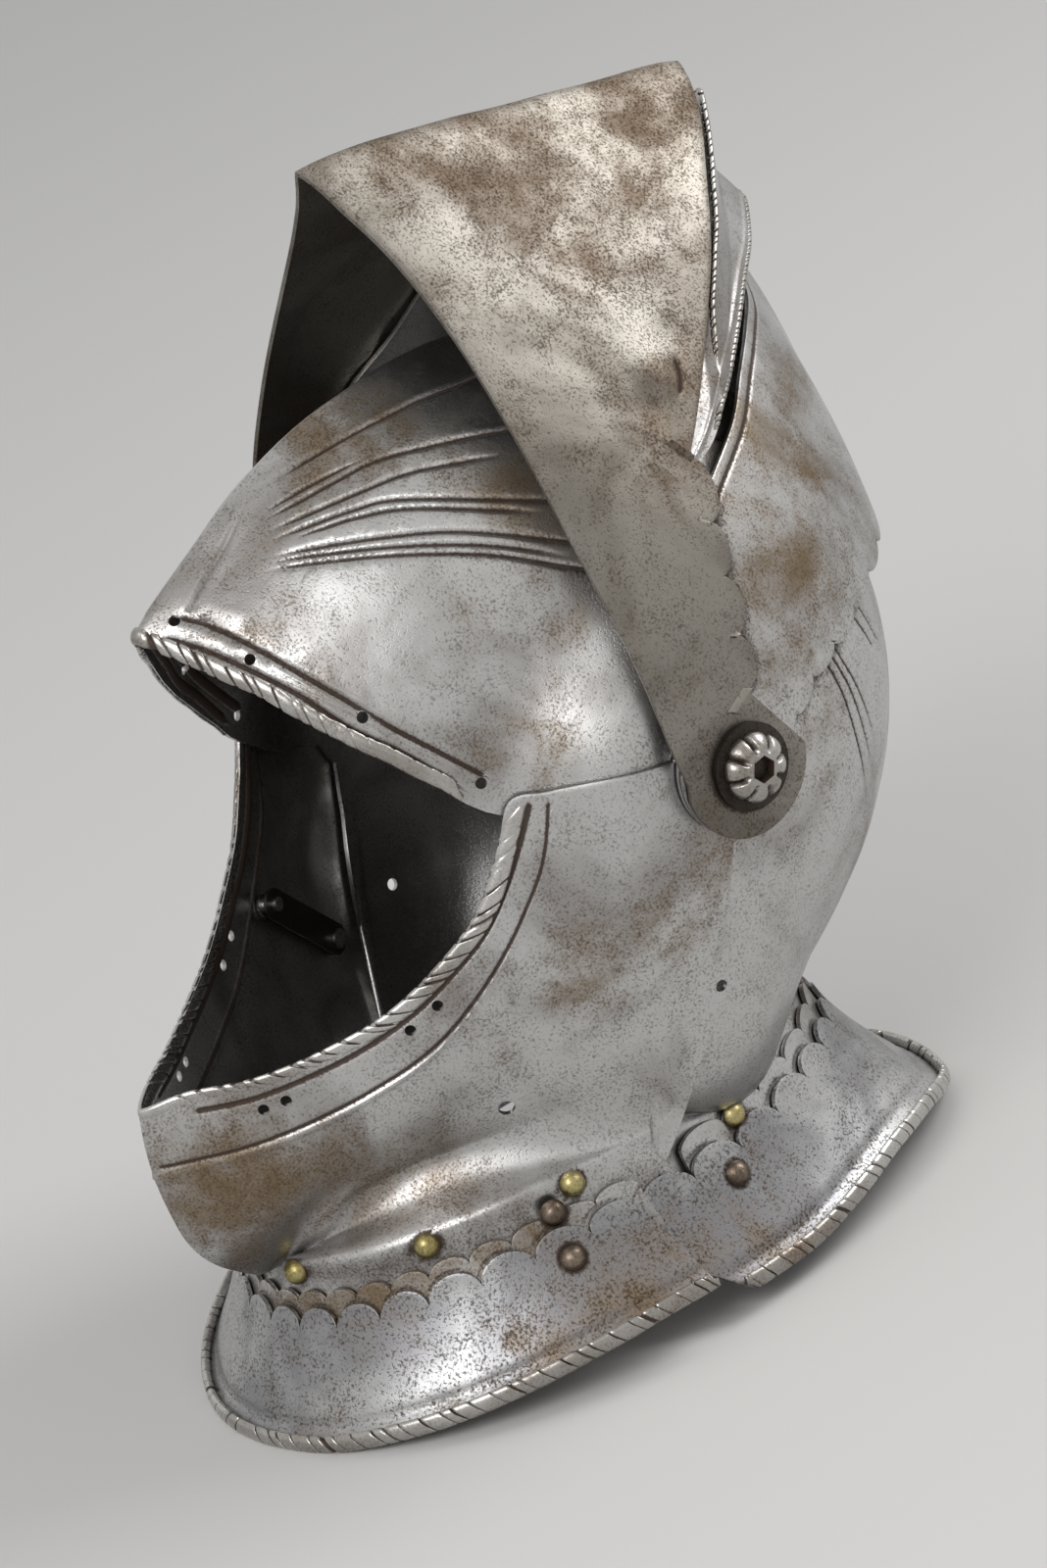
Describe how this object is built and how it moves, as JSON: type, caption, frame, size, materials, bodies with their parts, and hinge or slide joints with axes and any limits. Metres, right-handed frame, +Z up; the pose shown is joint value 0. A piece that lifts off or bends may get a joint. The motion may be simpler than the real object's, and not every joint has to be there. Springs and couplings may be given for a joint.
{
  "type": "close helmet",
  "caption": "Fluted steel close helmet whose brow plate, visor, ventail and bevor all turn on two side pivots, with scalloped neck plates and a brass plume holder.",
  "frame": {"origin": "on the table, under the middle of the box round the helmet with all its face plates raised", "axes": "+Z up, the face looks along -Y, +X is the wearer's left"},
  "size_m": [0.225, 0.2966, 0.3482],
  "materials": {
    "steel": "worn bright steel with brown patina",
    "dark_steel": "greyed, pitted steel",
    "brass": "aged brass",
    "bronze": "dark browned copper alloy"
  },
  "bodies": {
    "helmet": {"skull": "steel", "rear_neck_lame": "steel", "rear_gorget_plate": "dark_steel", "plume_holder": "brass", "plume_holder_rivets": "brass", "left_rosette": "steel", "right_rosette": "steel", "left_washer": "dark_steel", "right_washer": "dark_steel", "left_pivot_bolt": "dark_steel", "right_pivot_bolt": "dark_steel", "left_pivot_nut": "dark_steel", "right_pivot_nut": "dark_steel", "rear_lame_rivets": "brass", "rear_plate_rivets": "bronze"},
    "brow_plate": {"brow_plate": "dark_steel"},
    "ventail": {"ventail": "steel"},
    "visor": {"visor": "steel"},
    "bevor": {"bevor": "steel", "front_neck_lame": "steel", "front_gorget_plate": "dark_steel", "bevor_studs": "brass", "front_lame_rivets": "bronze", "front_plate_rivets": "bronze", "latch_spring": "dark_steel", "latch_rivet": "steel"},
    "latch": {"latch_stud": "steel"}
  },
  "joints": [
    {"name": "ventail_drop", "type": "hinge", "parent": "helmet", "child": "ventail", "pos_m": [0, 0.023, 0.163], "axis": [-1, 0, 0], "range_deg": [-104, 0]},
    {"name": "visor_lift", "type": "hinge", "parent": "ventail", "child": "visor", "pos_m": [0, 0.023, 0.163], "axis": [-1, 0, 0], "range_deg": [0, 25]},
    {"name": "brow_plate_drop", "type": "hinge", "parent": "helmet", "child": "brow_plate", "pos_m": [0, 0.023, 0.163], "axis": [-1, 0, 0], "range_deg": [-100, 0]},
    {"name": "bevor_open", "type": "hinge", "parent": "helmet", "child": "bevor", "pos_m": [0, 0.023, 0.163], "axis": [-1, 0, 0], "range_deg": [0, 45]},
    {"name": "latch_press", "type": "slide", "parent": "bevor", "child": "latch", "axis": [0.8857, 0.4636, 0.0258], "range_m": [0, 0.0022], "stiffness_N_per_m": 800, "springref_m": -0.001}
  ]
}
